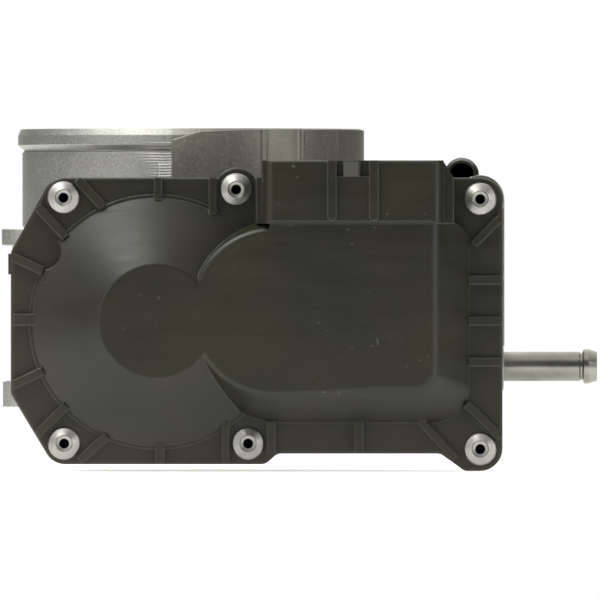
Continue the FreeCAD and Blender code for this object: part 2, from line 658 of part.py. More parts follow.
def pipe_end(base):
    """Beaded hose end profile, from the base expression to the tip 12 mm further."""
    return [
        ("pipe_radius", f"{base}"), ("pipe_radius", f"{base} + 7.2"), ("pipe_radius - 0.3", f"{base} + 7.5"),
        ("pipe_radius - 0.3", f"{base} + 8.0"), ("bead_end_radius", f"{base} + 8.5"),
        ("bead_end_radius", f"{base} + 9.7"), ("pipe_radius - 0.05", f"{base} + 12"),
        ("pipe_bore", f"{base} + 12"),
    ]


def make_side_nipple():
    """Straight coolant pipe pressed into the block; a cross hole meets the riser."""
    start = "(right_face - 13)"
    pipe = turned([("pipe_bore", "0"), ("pipe_radius", "0")]
                  + pipe_end(f"side_pipe_end - {start} - 12"),
                  (start, "-coolant_y", "side_pipe_z"), "+X")
    window = cylinder("riser_radius", "6", ("riser_x", "-coolant_y", "side_pipe_z"))
    return node("side_coolant_pipe", cut(pipe, window))


def make_front_nipple():
    """Coolant pipe that rises from the block and bends forward to a beaded hose end."""
    leg = ring("pipe_radius", "pipe_bore", "front_pipe_z - pipe_bend - cross_z + 2",
               ("front_pipe_x", "-coolant_y", "cross_z - 2"))
    quarter = Rotation(Vector(0, 1, 0), Vector(0, 0, 1), Vector(1, 0, 0), "XYZ")
    bends = []
    for radius in ("pipe_radius", "pipe_bore"):
        torus = doc.addObject("Part::Torus", "bend")
        bind(torus, Radius1="pipe_bend", Radius2=radius)
        torus.Angle3 = 90
        bends.append(place(torus, ("front_pipe_x", "-coolant_y - pipe_bend", "front_pipe_z - pipe_bend"),
                           quarter))
    run = turned([("pipe_bore", "0"), ("pipe_radius", "0")]
                 + pipe_end("front_pipe_y - coolant_y - pipe_bend - 12"),
                 ("front_pipe_x", "-coolant_y - pipe_bend", "front_pipe_z"), "-Y")
    whole = fuse(leg, cut(*bends), run)
    window = cylinder("riser_radius", "6", ("front_pipe_x", "-coolant_y", "cross_z"), "+X")
    return node("front_coolant_pipe", cut(whole, window))


def make_gallery_plugs():
    """Press-in plugs that close the ends of the coolant drillings."""
    riser_plug = cylinder("riser_radius", "4", ("riser_x", "-coolant_y", "block_top - 4"))
    cross_plug = cylinder("riser_radius", "right_face - riser_x - riser_radius",
                          ("riser_x + riser_radius", "-coolant_y", "cross_z"), "+X")
    return node("gallery_plugs", group(riser_plug, cross_plug))


# ---------------------------------------------------------------- throttle shaft group

def opened(item):
    """Turn an item built square to the bore to the plate's rest angle about the shaft."""
    for axis in "xyz":
        item.setExpression(f"Placement.Base.{axis}", None)
    swing = Rotation(Vector(0, 1, 0), value("rest_angle"))
    hub = Vector(0, 0, value("shaft_z"))
    item.Placement = Placement(hub, Rotation()).multiply(
        Placement(Vector(), swing)).multiply(Placement(-hub, Rotation())).multiply(item.Placement)
    return item


def plate_screws():
    """Two pan-head screws that hold the plate in the shaft's slot."""
    screws = []
    for y in (-15, 15):
        screws.append(turned([
            ("0", "0"), ("1.9", "0"), ("1.9", "7.6"), ("3.3", "7.6"), ("3.3", "8.8"), ("2.4", "9.6"),
            ("0", "9.6"),
        ], ("0", y, "shaft_z - 4.6")))
        opened(screws[-1])
    return screws


def make_shaft_group():
    """Shaft, plate and screws, all turned to the rest angle."""
    disc = opened(cylinder("plate_radius", "plate_thick", ("0", "0", "shaft_z - plate_thick / 2")))
    screws = group(*plate_screws())
    seats = [opened(cylinder("3.3", "4", ("0", y, "shaft_z + 3"))) for y in (-15, 15)]
    node("plate_screws", screws)
    node("throttle_plate", cut(disc, screws))
    rod = turned([
        ("0", "0"), ("shaft_radius - 0.6", "0"), ("shaft_radius", "0.6"),
        ("shaft_radius", "shaft_back - 1 + sector_back_y"), ("4", "shaft_back - 1 + sector_back_y"),
        ("4", "shaft_back - 1 + 71"), ("0", "shaft_back - 1 + 71"),
    ], ("0", "shaft_back - 1", "shaft_z"), "-Y")
    node("throttle_shaft", cut(rod, disc, screws, *seats))


def make_sector():
    """Moulded sector gear with its hub cup and stop lever."""
    first, span = -20.0, 111.0
    wedge = doc.addObject("Part::Cylinder", "wedge")
    wedge.Radius = 40
    wedge.Height = 20
    wedge.Angle = span
    turn = TOWARD["-Y"].multiply(Rotation(Vector(0, 0, 1), first))
    place(wedge, ("0", "-sector_back_y + 5", "shaft_z"), turn)
    teeth = common(gear("sector_module", "sector_teeth", 0, "sector_back_y", "sector_front_y", "0"), wedge)
    relief = common(ring("22.5", "13.5", "3", ("0", "-sector_front_y + 2", "shaft_z"), "-Y"), wedge)
    whole = fuse(
        cut(teeth, relief),
        cylinder("13", "sector_front_y - sector_back_y", ("0", "-sector_back_y", "shaft_z"), "-Y"),
        cylinder("hub_radius", "cup_y - sector_front_y", ("0", "-sector_front_y", "shaft_z"), "-Y"),
        box((STOP_X - 4, "-sector_front_y + 1", "shaft_z - 3"),
            ("-8", "-sector_back_y - 1", "shaft_z + 3")),
    )
    node("sector_gear", cut(
        whole,
        cylinder("4", "20", ("0", "-sector_back_y + 5", "shaft_z"), "-Y"),
        cylinder("cup_radius", "10", ("0", "-sector_front_y", "shaft_z"), "-Y"),
    ))
    node("shaft_washer", ring("7", "4", "0.6", ("0", "-sector_front_y", "shaft_z"), "-Y"))
    nut = doc.addObject("Part::Prism", "nut")
    nut.Polygon = 6
    nut.Circumradius = 7
    nut.Height = 3
    place(nut, ("0", "-sector_front_y - 0.6", "shaft_z"), "-Y")
    node("shaft_nut", cut(nut, cylinder("4", "9", ("0", "-sector_front_y + 2", "shaft_z"), "-Y")))
    node("sensor_magnet", ring("cup_radius", "5.2", "2.6", ("0", "-cup_y + 2.6", "shaft_z"), "-Y"))


def needle_bearing(name, back_y):
    """Drawn-cup needle bearing: a shell and its loose needles."""
    node(f"{name}_bearing", ring("bearing_radius", "bearing_radius - 0.8", "bearing_length",
                                 ("0", f"-({back_y})", "shaft_z"), "-Y"))
    needle_radius = (value("bearing_radius - 0.8 - shaft_radius") - 2 * value("running")) / 2
    circle = value("shaft_radius + running") + needle_radius
    needles = []
    for index in range(18):
        angle = math.radians(index * 20)
        needles.append(cylinder(needle_radius, "bearing_length - 1", (
            circle * math.cos(angle), f"-({back_y}) - 0.5", f"shaft_z + {circle * math.sin(angle)}"), "-Y"))
    node(f"{name}_needles", group(*needles))


def make_shaft_supports():
    """Bearings, seals and the rear end plug."""
    needle_bearing("front", "37.2")
    needle_bearing("rear", "-(39.4 + bearing_length)")
    node("front_seal", ring("bearing_radius", "shaft_radius + 0.05", "2.2", ("0", "-45.6", "shaft_z"), "-Y"))
    node("rear_seal", ring("bearing_radius", "shaft_radius + 0.05", "2.0", ("0", "37.1", "shaft_z"), "+Y"))
    node("shaft_end_plug", turned([
        ("0", "0"), ("bearing_radius", "0"), ("bearing_radius", "3"), ("bearing_radius - 1", "3"),
        ("bearing_radius - 1", "1"), ("0", "1"),
    ], ("0", "50", "shaft_z"), "+Y"))


def make_springs():
    """Return spring, limp-home spring and the bush that guides them."""
    length = value("spring_top_y - floor_y")
    for name, radius, wire in (("return_spring", 16.0, 0.9), ("limp_home_spring", 12.4, 0.8)):
        node(name, coil(radius, wire, (length - 2 * wire) / 4, 4, "spring_top_y"))
    node("spring_guide", ring("10.8", "7.6", "spring_top_y - floor_y - 0.3", ("0", "-floor_y", "shaft_z"), "-Y"))


def make_stop_screw():
    """Set screw that the sector's lever meets with the plate shut."""
    screw = cylinder("2.5", "stop_tip + 11", (STOP_X, "-stop_y", "-11"))
    socket = doc.addObject("Part::Prism", "socket")
    socket.Polygon = 6
    socket.Circumradius = 1.5
    socket.Height = 3
    place(socket, (STOP_X, "-stop_y", "-11"))
    node("stop_screw", cut(screw, socket))


# ---------------------------------------------------------------- idler and motor

def make_idler():
    """Idler: steel pinion with a sleeve, moulded wheel, fixed pin and washer."""
    small_start = 180 + 180 / value("idler_small_teeth")
    bore = cylinder("pin_radius + running", "30", ("idler_x", "-55", "shaft_z"), "-Y")
    pinion = fuse(
        gear("sector_module", "idler_small_teeth", small_start, "sector_back_y - 0.5",
             "sector_front_y + 0.5", "idler_x"),
        cylinder("4.2", "wheel_front_y - sector_front_y", ("idler_x", "-sector_front_y", "shaft_z"), "-Y"),
    )
    node("idler_pinion", cut(pinion, bore))
    wheel = gear("motor_module", "idler_large_teeth", 0, "wheel_back_y", "wheel_front_y", "idler_x")
    groove = ring("18.2", "7.5", "1.5", ("idler_x", "-wheel_front_y + 1.5", "shaft_z"), "-Y")
    sleeve = cylinder("4.2", "30", ("idler_x", "-55", "shaft_z"), "-Y")
    node("idler_wheel", cut(wheel, groove, sleeve))
    node("idler_pin", cylinder("pin_radius", "76 - floor_y + 9", ("idler_x", "-floor_y + 9", "shaft_z"), "-Y"))
    node("idler_washer", ring("4.2", "pin_radius", "0.6", ("idler_x", "-wheel_front_y - 0.4", "shaft_z"), "-Y"))


def make_motor():
    """Brushed motor: can, magnets, end cap and everything on its shaft."""
    node("motor_can", turned([
        ("4", "0"), ("motor_radius", "0"), ("motor_radius", "motor_back + motor_front_y"),
        ("motor_radius - 1", "motor_back + motor_front_y"), ("motor_radius - 1", "1.2"), ("4", "1.2"),
    ], ("motor_x", "motor_back", "shaft_z"), "-Y"))
    node("motor_wave_washer", ring("12", "8.5", "0.9", ("motor_x", "motor_back + 0.95", "shaft_z"), "-Y"))
    node("motor_magnets", cut(
        ring("motor_radius - 1", "10", "34", ("motor_x", "2", "shaft_z"), "-Y"),
        box(("motor_x - 3", "-40", "shaft_z - 20"), ("motor_x + 3", "10", "shaft_z + 20"))))
    ears = [cylinder("4.7", "2", (f"motor_x + {x}", "-floor_y", f"shaft_z + {z}"), "-Y")
            for x, z in MOTOR_SCREWS]
    cap = fuse(cylinder("motor_radius", "floor_y - motor_front_y",
                        ("motor_x", "-motor_front_y", "shaft_z"), "-Y"),
               cylinder("15", "2", ("motor_x", "-floor_y", "shaft_z"), "-Y"), *ears)
    cap_holes = [cylinder("1.6", "6", (f"motor_x + {x}", "-floor_y + 1", f"shaft_z + {z}"), "-Y")
                 for x, z in MOTOR_SCREWS]
    node("motor_end_cap", cut(cap, cylinder("4", "9", ("motor_x", "-motor_front_y + 1", "shaft_z"), "-Y"),
                              *cap_holes))
    screws = []
    for x, z in MOTOR_SCREWS:
        screws.append(turned([
            ("0", "0"), ("1.5", "0"), ("1.5", "11"), ("2.9", "11"), ("2.9", "12.4"), ("2.3", "13.2"),
            ("1.2", "13.2"), ("0.9", "12.2"), ("0", "12.2"),
        ], (f"motor_x + {x}", "-floor_y + 9", f"shaft_z + {z}"), "-Y"))
    node("motor_screws", group(*screws))
    node("motor_front_bush", ring("4", "pin_radius", "5", ("motor_x", "-motor_front_y - 0.2", "shaft_z"), "-Y"))
    node("motor_rear_bush", ring("4", "pin_radius", "4", ("motor_x", "motor_back", "shaft_z"), "-Y"))
    node("motor_terminals", group(*[
        box((x - 0.4, "-58", "33"), (x + 0.4, "-floor_y - 2", "37")) for x in TERMINAL_X]))
    node("motor_brushes", group(
        box(("motor_x - 8.5", "-42", "shaft_z - 1.5"), ("motor_x - 4.1", "-38", "shaft_z + 1.5")),
        box(("motor_x + 4.1", "-42", "shaft_z - 1.5"), ("motor_x + 8.5", "-38", "shaft_z + 1.5"))))


def make_motor_rotor():
    """Motor shaft with its core, windings, commutator and brass pinion."""
    node("motor_shaft", cylinder("rotor_radius", "motor_back + 73.8", ("motor_x", "motor_back", "shaft_z"), "-Y"))
    core = cylinder("9.6", "30", ("motor_x", "0", "shaft_z"), "-Y")
    slots = []
    for index in range(5):
        slot = doc.addObject("Part::Box", "slot")
        slot.Length = 8
        slot.Width = 1.6
        slot.Height = 40
        turn = TOWARD["-Y"].multiply(Rotation(Vector(0, 0, 1), 72 * index))
        shift = turn.multVec(Vector(4.5, -0.8, 0))
        slots.append(place(slot, (f"motor_x + {shift.x}", 5, f"shaft_z + {shift.z}"), turn))
    node("motor_core", cut(core, cylinder("rotor_radius", "60", ("motor_x", "5", "shaft_z"), "-Y"), *slots))
    node("motor_windings", group(
        ring("8.8", "rotor_radius", "4", ("motor_x", "4", "shaft_z"), "-Y"),
        ring("8.8", "rotor_radius", "4", ("motor_x", "-30", "shaft_z"), "-Y")))
    node("commutator", ring("4", "rotor_radius", "8", ("motor_x", "-35", "shaft_z"), "-Y"))
    start = 180 + 180 / value("motor_teeth")
    node("motor_pinion", cut(
        gear("motor_module", "motor_teeth", start, "wheel_back_y - 0.3", "wheel_front_y + 0.4", "motor_x"),
        cylinder("rotor_radius", "30", ("motor_x", "-60", "shaft_z"), "-Y")))


# ---------------------------------------------------------------- build and write

make_casting()
make_gasket()
make_cover()
make_rivets()
make_cover_electronics()
make_side_nipple()
make_front_nipple()
make_gallery_plugs()
make_shaft_group()
make_sector()
make_shaft_supports()
make_springs()
make_stop_screw()
make_idler()
make_motor()
make_motor_rotor()

doc.recompute()
problems = []
for item in doc.Objects:
    if "Invalid" in item.State or "Error" in item.State:
        problems.append(f"{item.Name} {item.Label} {item.State}")
for name, item in nodes.items():
    if item.Shape.isNull() or not item.Shape.isValid():
        problems.append(f"{name} has no valid shape")
if problems:
    raise RuntimeError("; ".join(problems))
os.makedirs("parts", exist_ok=True)
for name, item in nodes.items():
    item.Shape.exportStep(f"parts/{name}.step")
    print(f"{name}: {len(item.Shape.Solids)} solid(s), {item.Shape.Volume / 1000:.2f} cm3")
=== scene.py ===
import json
import math

import bmesh
import bpy
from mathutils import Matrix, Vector


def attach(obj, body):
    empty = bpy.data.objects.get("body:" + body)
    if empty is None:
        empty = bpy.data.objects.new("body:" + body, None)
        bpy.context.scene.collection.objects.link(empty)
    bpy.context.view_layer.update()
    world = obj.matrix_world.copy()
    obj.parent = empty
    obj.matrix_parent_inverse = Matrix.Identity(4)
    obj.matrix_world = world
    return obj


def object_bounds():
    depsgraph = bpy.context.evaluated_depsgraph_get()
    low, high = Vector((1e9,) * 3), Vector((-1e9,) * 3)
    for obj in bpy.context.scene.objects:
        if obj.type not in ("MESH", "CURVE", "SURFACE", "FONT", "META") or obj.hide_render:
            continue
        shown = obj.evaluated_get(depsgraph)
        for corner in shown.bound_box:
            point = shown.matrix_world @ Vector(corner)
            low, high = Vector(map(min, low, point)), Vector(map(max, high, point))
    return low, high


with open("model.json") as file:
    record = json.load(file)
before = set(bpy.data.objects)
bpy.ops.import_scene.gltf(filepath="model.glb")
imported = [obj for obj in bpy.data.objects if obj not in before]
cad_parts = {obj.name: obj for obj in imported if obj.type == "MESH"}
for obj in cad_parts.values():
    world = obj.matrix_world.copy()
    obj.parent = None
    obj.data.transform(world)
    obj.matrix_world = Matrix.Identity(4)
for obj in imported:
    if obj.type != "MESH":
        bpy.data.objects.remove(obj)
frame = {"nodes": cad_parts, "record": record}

CAD_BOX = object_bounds()
MM = 0.001
NODES = frame["nodes"]


# ---------------------------------------------------------------- node helpers

class Shade:
    """A small builder for one procedural material."""

    def __init__(self, name):
        self.material = bpy.data.materials.new(name)
        self.material.use_nodes = True
        self.tree = self.material.node_tree
        self.tree.nodes.clear()
        self.surface = self.tree.nodes.new("ShaderNodeBsdfPrincipled")
        output = self.tree.nodes.new("ShaderNodeOutputMaterial")
        self.link(self.surface.outputs["BSDF"], output.inputs["Surface"])
        self.place = self.tree.nodes.new("ShaderNodeTexCoord").outputs["Object"]

    def link(self, source, target):
        self.tree.links.new(source, target)

    def feed(self, socket, source):
        """Link a node output to the socket, or set a plain value on it."""
        if isinstance(source, bpy.types.NodeSocket):
            self.link(source, socket)
        else:
            socket.default_value = source

    def stretch(self, scale):
        """Object coordinates scaled along each axis."""
        node = self.tree.nodes.new("ShaderNodeMapping")
        self.link(self.place, node.inputs["Vector"])
        node.inputs["Scale"].default_value = scale
        return node.outputs["Vector"]

    def noise(self, scale, detail=4.0, rough=0.55, place=None, warp=0.0):
        node = self.tree.nodes.new("ShaderNodeTexNoise")
        self.link(place or self.place, node.inputs["Vector"])
        node.inputs["Scale"].default_value = scale
        node.inputs["Detail"].default_value = detail
        node.inputs["Roughness"].default_value = rough
        node.inputs["Distortion"].default_value = warp
        return node.outputs["Fac"]

    def spread(self, source, low, high, out_low=0.0, out_high=1.0):
        node = self.tree.nodes.new("ShaderNodeMapRange")
        self.link(source, node.inputs["Value"])
        node.inputs["From Min"].default_value = low
        node.inputs["From Max"].default_value = high
        node.inputs["To Min"].default_value = out_low
        node.inputs["To Max"].default_value = out_high
        return node.outputs["Result"]

    def blend(self, fac, first, second):
        node = self.tree.nodes.new("ShaderNodeMix")
        node.data_type = "RGBA"
        self.feed(node.inputs["Factor"], fac)
        self.feed(node.inputs["A"], first)
        self.feed(node.inputs["B"], second)
        return node.outputs["Result"]

    def maths(self, kind, first, second=0.0):
        node = self.tree.nodes.new("ShaderNodeMath")
        node.operation = kind
        self.feed(node.inputs[0], first)
        self.feed(node.inputs[1], second)
        return node.outputs["Value"]

    def bump(self, heights, strength=0.3, normal=None):
        """Stack (height output, distance in metres) pairs into one normal."""
        for height, distance in heights:
            node = self.tree.nodes.new("ShaderNodeBump")
            node.inputs["Strength"].default_value = strength
            node.inputs["Distance"].default_value = distance
            self.link(height, node.inputs["Height"])
            if normal:
                self.link(normal, node.inputs["Normal"])
            normal = node.outputs["Normal"]
        self.link(normal, self.surface.inputs["Normal"])

    def soft_edge(self, radius):
        """Rounded-edge normal, and a fraction that is high where it differs from the face's own."""
        bevel = self.tree.nodes.new("ShaderNodeBevel")
        bevel.samples = 4
        bevel.inputs["Radius"].default_value = radius
        own = self.tree.nodes.new("ShaderNodeNewGeometry").outputs["Normal"]
        node = self.tree.nodes.new("ShaderNodeVectorMath")
        node.operation = "DOT_PRODUCT"
        self.link(bevel.outputs["Normal"], node.inputs[0])
        self.link(own, node.inputs[1])
        return bevel.outputs["Normal"], self.spread(node.outputs["Value"], 0.995, 0.85)

    def along(self, axis):
        """One object coordinate in metres: "X", "Y" or "Z"."""
        node = self.tree.nodes.new("ShaderNodeSeparateXYZ")
        self.link(self.place, node.inputs["Vector"])
        return node.outputs[axis]

    def band(self, source, low, high, soft):
        """One between low and high, falling to zero over the soft distance outside."""
        rise = self.spread(source, low - soft, low)
        fall = self.spread(source, high + soft, high)
        return self.maths("MULTIPLY", rise, fall)

    def set(self, **sockets):
        for name, source in sockets.items():
            self.feed(self.surface.inputs[name.replace("_", " ")], source)
        return self


def rgb(red, green, blue):
    return (red, green, blue, 1.0)


# Gear cover: moulded black, lighter and warmer towards its left and lower sides, painted highlights on
# its edges, scuffs, pale latch ramp.
COVER_DARK = rgb(0.0118, 0.0118, 0.0066)
COVER_OLIVE = rgb(0.0170, 0.0168, 0.0062)
COVER_LOW_LEFT_TINT = rgb(0.032, 0.026, 0.016)
COVER_EDGE_HIGHLIGHT = rgb(0.085, 0.083, 0.070)
COVER_SCUFF = rgb(0.17, 0.17, 0.16)
COVER_EDGE_RADIUS = 0.45 * MM
LOW_LEFT_FROM_X = (-0.030, -0.050)
LOW_LEFT_FROM_Z = (-0.002, -0.016)
RAMP_GREY = rgb(0.066, 0.064, 0.056)
RAMP_X = (0.0414, 0.0454)
RAMP_Z = (0.0622, 0.0664)
RAMP_SOFT = 0.1 * MM

# Casting: blasted grey with bright grains, and bright turned lines on the collar; the same bright colour
# is also painted as highlights on the casting's edges.
CAST_DARK = rgb(0.26, 0.26, 0.235)
CAST_LIGHT = rgb(0.34, 0.34, 0.31)
CAST_SPARK = rgb(0.52, 0.52, 0.48)
CAST_TURNED_LINES_AND_EDGE_HIGHLIGHT = rgb(0.72, 0.71, 0.67)
CAST_EDGE_RADIUS = 0.4 * MM
COLLAR_LOW = (0.0485, 0.0495)
COLLAR_FRONT = (0.002, -0.002)
TURNED_TOP = (0.0722, 0.0712)
TURNED_START = -4.0 * MM
TURNED_FULL = 1.0 * MM
TURNED_DRIFT = 7.0 * MM
TURNED_SCALE = 420.0

# As-cast pad: where it begins in X, its radius, and its skin's height at a few places along X.
PAD_GREY = rgb(0.28, 0.28, 0.24)
PAD_DARK = rgb(0.20, 0.20, 0.17)
PAD_LIGHT = rgb(0.29, 0.285, 0.24)
PAD_SPARK = rgb(0.38, 0.375, 0.33)
# Painted highlight colour for the skin's rounded edges.
PAD_SKIN_HIGHLIGHT = rgb(0.50, 0.49, 0.43)
PAD_EDGE = -5.1 * MM
PAD_BORDER = 0.1 * MM
PAD_RADIUS = 47.15 * MM
PAD_THICK = 1.0 * MM
PAD_LOW = 49.7 * MM
PAD_END = math.radians(97.0)
PAD_COLUMNS = 240
PAD_ROWS = 14
PAD_CREASE = math.radians(40)
LIP_RISE = 0.15 * MM
PAD_CLIMB = [(PAD_EDGE, 0.0722), (0.0027, 0.0746), (0.019, 0.0751), (0.050, 0.0751)]
# Draft lines on the pad: X, half width and rise, in metres.
PAD_LINES = [(0.0096, 0.0004, 0.00010), (0.0196, 0.0005, 0.00022), (0.0212, 0.0004, 0.00016),
             (0.0296, 0.0004, 0.00014), (0.0306, 0.0004, 0.00012), (0.0401, 0.0005, 0.00016)]

METAL_SPOT = rgb(0.12, 0.11, 0.10)
# Painted shade deep in the rivet holes: rivet metal behind the front Y darkens over the soft distance.
HOLE_SHADE = rgb(0.012, 0.012, 0.010)
HOLE_SHADE_FRONT = -72.2 * MM
HOLE_SHADE_SOFT = 1.0 * MM

# Plastics: base colour, lighter colour, lowest and highest roughness.
PLASTICS = {
    "seal_rubber": (rgb(0.012, 0.012, 0.012), rgb(0.02, 0.02, 0.02), 0.6, 0.8),
    "board": (rgb(0.02, 0.12, 0.05), rgb(0.03, 0.17, 0.07), 0.3, 0.4),
    "chip": (rgb(0.02, 0.02, 0.02), rgb(0.03, 0.03, 0.03), 0.5, 0.6),
    "gear_plastic": (rgb(0.62, 0.55, 0.40), rgb(0.72, 0.66, 0.52), 0.4, 0.5),
    "magnet": (rgb(0.05, 0.05, 0.055), rgb(0.09, 0.09, 0.095), 0.5, 0.6),
    "guide_plastic": (rgb(0.030, 0.030, 0.026), rgb(0.05, 0.05, 0.045), 0.4, 0.5),
    "carbon": (rgb(0.03, 0.03, 0.03), rgb(0.05, 0.05, 0.05), 0.5, 0.7),
}

# Worked metals: base colour, lighter colour, roughness, and the stretch of their fine lines.
RINGS = (1.0, 1.0, 30.0)
METALS = {
    "rivet_metal": (rgb(0.31, 0.305, 0.28), rgb(0.44, 0.435, 0.40), 0.42, (1, 1, 1)),
    "terminal_metal": (rgb(0.66, 0.60, 0.46), rgb(0.75, 0.70, 0.58), 0.28, RINGS),
    "pipe_steel": (rgb(0.24, 0.235, 0.21), rgb(0.36, 0.355, 0.32), 0.34, (0.05, 1, 1)),
    "dull_pipe": (rgb(0.055, 0.054, 0.048), rgb(0.10, 0.098, 0.088), 0.42, RINGS),
    "fastener_steel": (rgb(0.50, 0.49, 0.46), rgb(0.60, 0.59, 0.56), 0.34, RINGS),
    "plate_brass": (rgb(0.62, 0.50, 0.28), rgb(0.72, 0.60, 0.36), 0.30, (1, 30, 1)),
    "shaft_steel": (rgb(0.50, 0.50, 0.50), rgb(0.62, 0.62, 0.61), 0.24, (1, 0.05, 1)),
    "spring_steel": (rgb(0.22, 0.22, 0.23), rgb(0.32, 0.32, 0.33), 0.35, RINGS),
    "motor_steel": (rgb(0.48, 0.48, 0.47), rgb(0.58, 0.58, 0.57), 0.28, RINGS),
    "bronze": (rgb(0.50, 0.34, 0.14), rgb(0.60, 0.43, 0.20), 0.36, RINGS),
    "motor_core_steel": (rgb(0.18, 0.18, 0.19), rgb(0.26, 0.26, 0.27), 0.45, (1, 40, 1)),
    "copper_wire": (rgb(0.60, 0.26, 0.12), rgb(0.70, 0.34, 0.17), 0.32, (1, 30, 1)),
}


# ---------------------------------------------------------------- materials

def plastic(name, base, light, rough_low, rough_high):
    """Moulded plastic with fine texture and faint mottling."""
    shade = Shade(name)
    cloud = shade.spread(shade.noise(45.0, 5.0), 0.3, 0.7)
    fine = shade.noise(2600.0, 2.0)
    shade.set(Base_Color=shade.blend(cloud, base, light), IOR=1.5,
              Roughness=shade.spread(cloud, 0.0, 1.0, rough_low, rough_high))
    shade.bump([(fine, 0.02 * MM)], 0.25)
    return shade.material


def cover_plastic():
    """Black glass-filled nylon: olive cast, lighter and warmer towards the lower left, painted highlights
    on the edges, scuffs and a pale latch.
    """
    shade = Shade("cover_plastic")
    cloud = shade.spread(shade.noise(38.0, 5.0), 0.35, 0.65)
    fine = shade.noise(2400.0, 3.0)
    drag = shade.noise(170.0, 4.0, 0.6, shade.stretch((0.25, 1.0, 1.6)), 0.6)
    colour = shade.blend(cloud, COVER_DARK, COVER_OLIVE)
    x, z = shade.along("X"), shade.along("Z")
    # Lighter, warmer colour towards the cover's left and lower sides.
    low_left = shade.maths("MAXIMUM", shade.spread(x, *LOW_LEFT_FROM_X), shade.spread(z, *LOW_LEFT_FROM_Z))
    colour = shade.blend(shade.maths("MULTIPLY", low_left, 0.8), colour, COVER_LOW_LEFT_TINT)
    normal, edge = shade.soft_edge(COVER_EDGE_RADIUS)
    # Painted highlight: the cover's rounded edges are lightened in colour.
    colour = shade.blend(shade.maths("MULTIPLY", edge, 0.85), colour, COVER_EDGE_HIGHLIGHT)
    flecks = shade.spread(shade.noise(330.0, 2.0, 0.5, shade.stretch((0.5, 1.0, 1.0)), 2.5), 0.735, 0.775)
    colour = shade.blend(shade.maths("MULTIPLY", flecks, 0.45), colour, COVER_SCUFF)
    ramp = shade.maths("MULTIPLY", shade.band(x, *RAMP_X, RAMP_SOFT), shade.band(z, *RAMP_Z, RAMP_SOFT))
    colour = shade.blend(ramp, colour, RAMP_GREY)
    rough = shade.spread(drag, 0.3, 0.7, 0.34, 0.46)
    shade.set(Base_Color=colour, Roughness=rough, IOR=1.5, Specular_IOR_Level=0.4)
    shade.bump([(fine, 0.015 * MM), (drag, 0.02 * MM)], 0.25, normal)
    return shade.material


def turned_lines(shade, x, z, collar):
    """Fine tool lines round the collar, bright at the pad's edge and fading raggedly to the left."""
    wave = shade.tree.nodes.new("ShaderNodeTexWave")
    wave.bands_direction = "Z"
    wave.inputs["Scale"].default_value = TURNED_SCALE
    wave.inputs["Distortion"].default_value = 1.6
    wave.inputs["Detail"].default_value = 2.0
    wave.inputs["Detail Scale"].default_value = 0.4
    shade.link(shade.place, wave.inputs["Vector"])
    ragged = shade.noise(260.0, 3.0, 0.6, shade.stretch((0.15, 0.15, 1.0)))
    drift = shade.maths("MULTIPLY", shade.spread(ragged, 0.35, 0.65), TURNED_DRIFT)
    lines = shade.spread(shade.maths("ADD", x, drift), PAD_EDGE + TURNED_START, PAD_EDGE + TURNED_FULL)
    before_pad = shade.spread(x, PAD_EDGE + PAD_BORDER, PAD_EDGE - PAD_BORDER)
    for part in (before_pad, collar, shade.spread(z, *TURNED_TOP)):
        lines = shade.maths("MULTIPLY", lines, part)
    return shade.maths("MULTIPLY", wave.outputs["Fac"], lines)


def cast_metal():
    """Shot-blasted aluminium casting, turned on the collar up to the raised pad's edge."""
    shade = Shade("cast_aluminium")
    cloud = shade.spread(shade.noise(60.0, 6.0), 0.3, 0.7)
    grain = shade.noise(1700.0, 5.0, 0.7)
    colour = shade.blend(cloud, CAST_DARK, CAST_LIGHT)
    colour = shade.blend(shade.spread(grain, 0.4, 0.75), colour, CAST_SPARK)
    x, y, z = shade.along("X"), shade.along("Y"), shade.along("Z")
    collar = shade.maths("MULTIPLY", shade.spread(z, *COLLAR_LOW), shade.spread(y, *COLLAR_FRONT))
    pad = shade.maths("MULTIPLY", collar, shade.spread(x, PAD_EDGE - PAD_BORDER, PAD_EDGE + PAD_BORDER))
    colour = shade.blend(shade.maths("MULTIPLY", pad, 0.85), colour, PAD_GREY)
    turned = turned_lines(shade, x, z, collar)
    colour = shade.blend(shade.maths("MULTIPLY", turned, 0.6), colour, CAST_TURNED_LINES_AND_EDGE_HIGHLIGHT)
    normal, edge = shade.soft_edge(CAST_EDGE_RADIUS)
    # Painted highlight: the casting's rounded edges are lightened in colour.
    colour = shade.blend(shade.maths("MULTIPLY", edge, 0.5), colour, CAST_TURNED_LINES_AND_EDGE_HIGHLIGHT)
    shade.set(Base_Color=colour, Metallic=0.9, Roughness=shade.spread(grain, 0.3, 0.7, 0.42, 0.60))
    shade.bump([(grain, 0.09 * MM), (turned, 0.25 * MM)], 0.45, normal)
    return shade.material


def pad_metal():
    """As-cast aluminium skin: duller, greener grey, softly streaked down the draft."""
    shade = Shade("pad_skin")
    cloud = shade.spread(shade.noise(70.0, 6.0, 0.6, shade.stretch((1.0, 1.0, 0.35))), 0.3, 0.7)
    grain = shade.noise(1500.0, 5.0, 0.7)
    colour = shade.blend(cloud, PAD_DARK, PAD_LIGHT)
    colour = shade.blend(shade.spread(grain, 0.45, 0.8), colour, PAD_SPARK)
    normal, edge = shade.soft_edge(CAST_EDGE_RADIUS)
    # Painted highlight: the skin's rounded edges are lightened in colour.
    colour = shade.blend(shade.maths("MULTIPLY", edge, 0.6), colour, PAD_SKIN_HIGHLIGHT)
    shade.set(Base_Color=colour, Metallic=0.85, Roughness=shade.spread(grain, 0.3, 0.7, 0.40, 0.55))
    shade.bump([(cloud, 0.2 * MM), (grain, 0.06 * MM)], 0.4, normal)
    return shade.material


